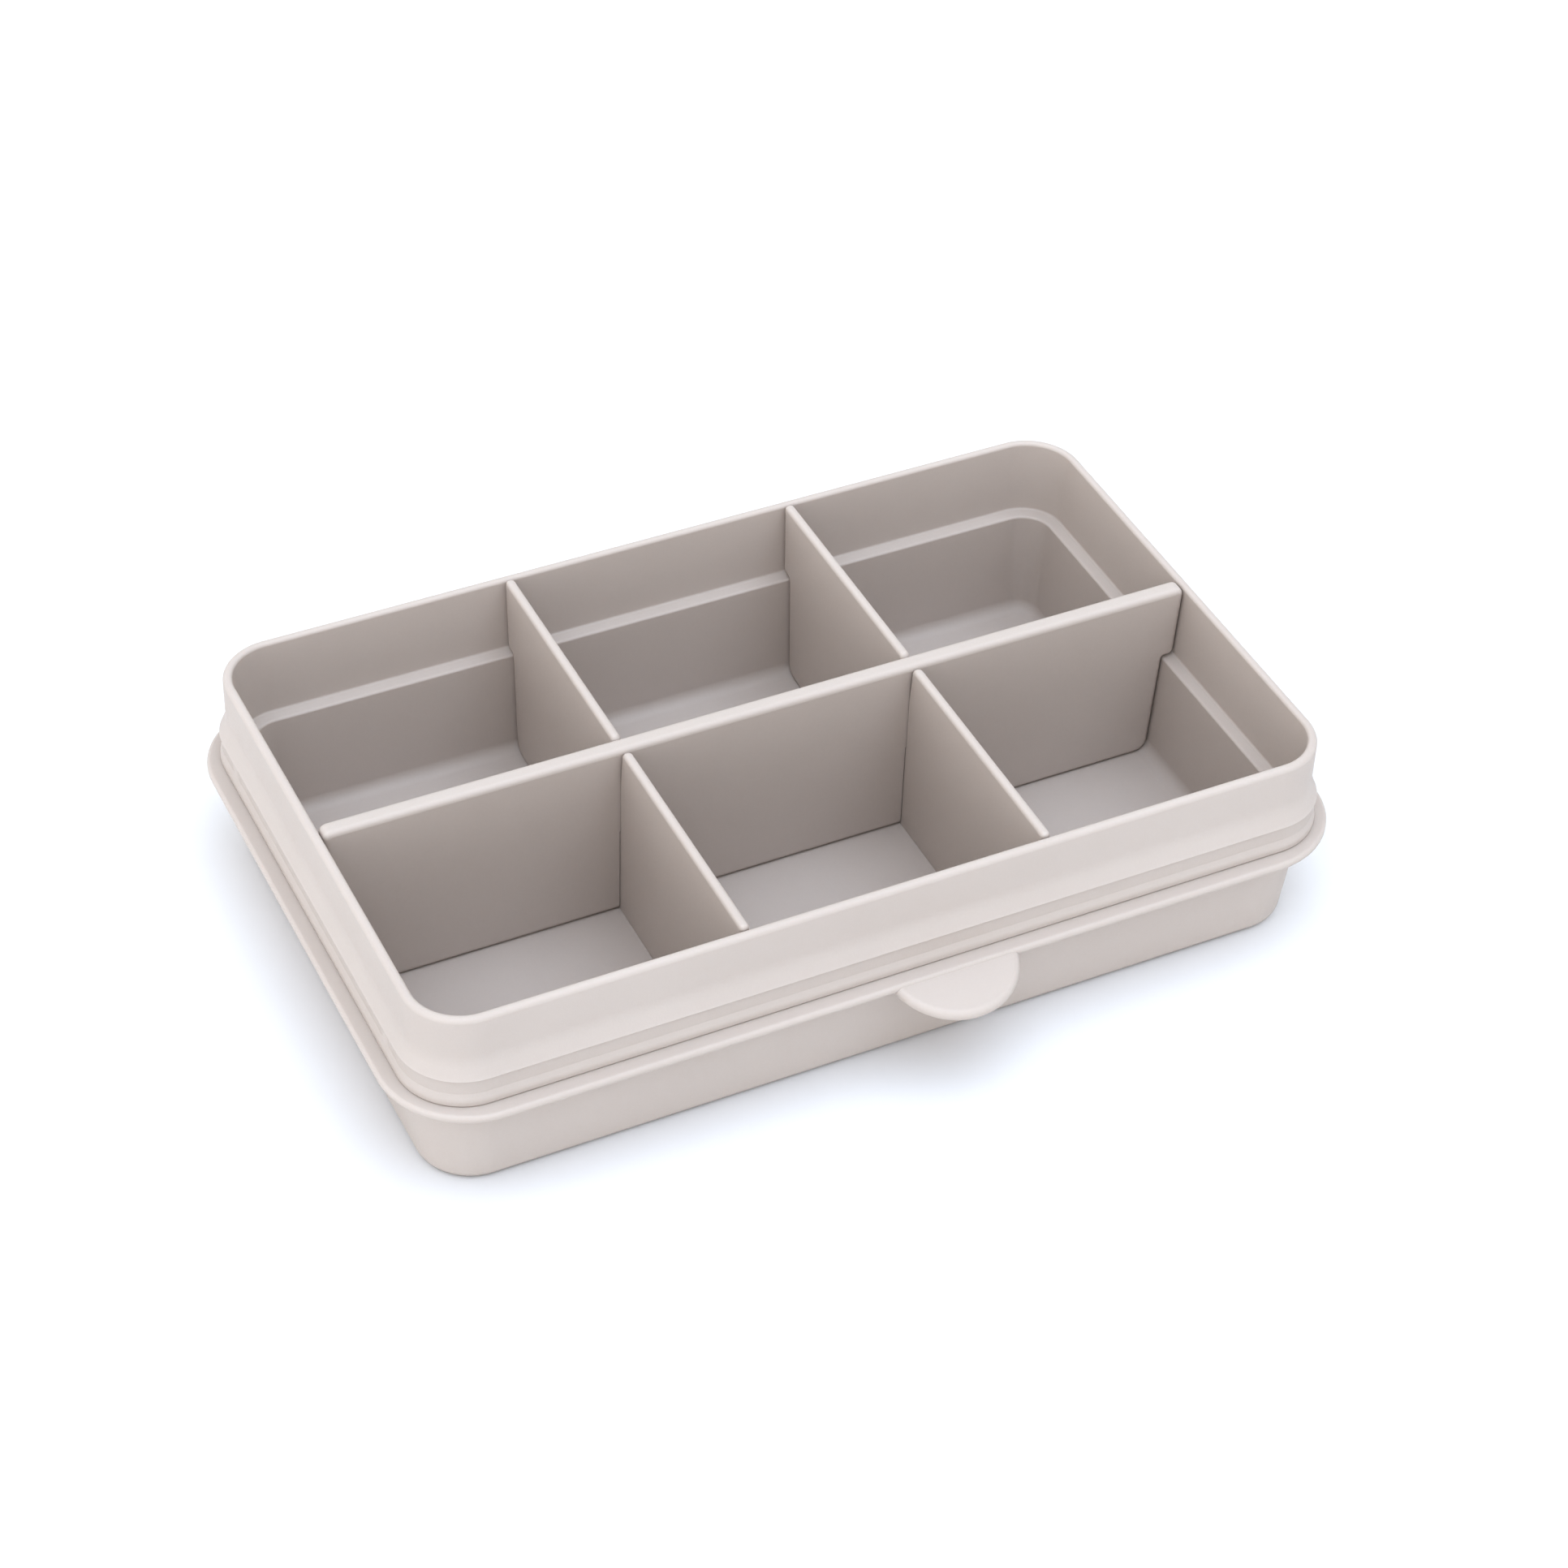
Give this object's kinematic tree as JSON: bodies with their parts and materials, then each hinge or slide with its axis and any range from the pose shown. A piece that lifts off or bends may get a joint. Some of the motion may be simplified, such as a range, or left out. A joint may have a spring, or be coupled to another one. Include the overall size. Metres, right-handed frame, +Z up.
{
  "type": "lunch box",
  "caption": "Open rectangular lunch box with half-lapped dividers that part it into compartments, standing in its upturned lid with a flange and a pull tab.",
  "frame": {"origin": "middle of the flat face under the lid, which the part stands on", "axes": "+Z up out of the open box, +X along the long side, the pull tab on the -Y side"},
  "size_m": [0.2102, 0.1427, 0.047],
  "materials": {
    "lid_plastic": "fine-grained matt, warm light grey",
    "box_plastic": "fine-grained matt, warm light grey",
    "divider_plastic": "fine-grained matt, warm light grey"
  },
  "bodies": {
    "lid": {"lid": "lid_plastic"},
    "box": {"box": "box_plastic"},
    "short_divider_left": {"short_divider_left": "divider_plastic"},
    "short_divider_right": {"short_divider_right": "divider_plastic"},
    "long_divider": {"long_divider": "divider_plastic"}
  },
  "joints": [
    {"name": "box_lift", "type": "slide", "parent": "lid", "child": "box", "axis": [0, 0, 1], "range_m": [0, 0.05]},
    {"name": "short_dividers_lift", "type": "slide", "parent": "box", "child": "short_divider_left", "axis": [0, 0, 1], "range_m": [0, 0.05]},
    {"name": "right_short_divider_lift", "type": "slide", "parent": "box", "child": "short_divider_right", "axis": [0, 0, 1], "range_m": [0, 0.05]},
    {"name": "long_divider_lift", "type": "slide", "parent": "short_divider_left", "child": "long_divider", "axis": [0, 0, 1], "range_m": [0, 0.05]}
  ],
  "couplings": [
    {"joint": "right_short_divider_lift", "follows": "short_dividers_lift", "ratio": 1}
  ]
}
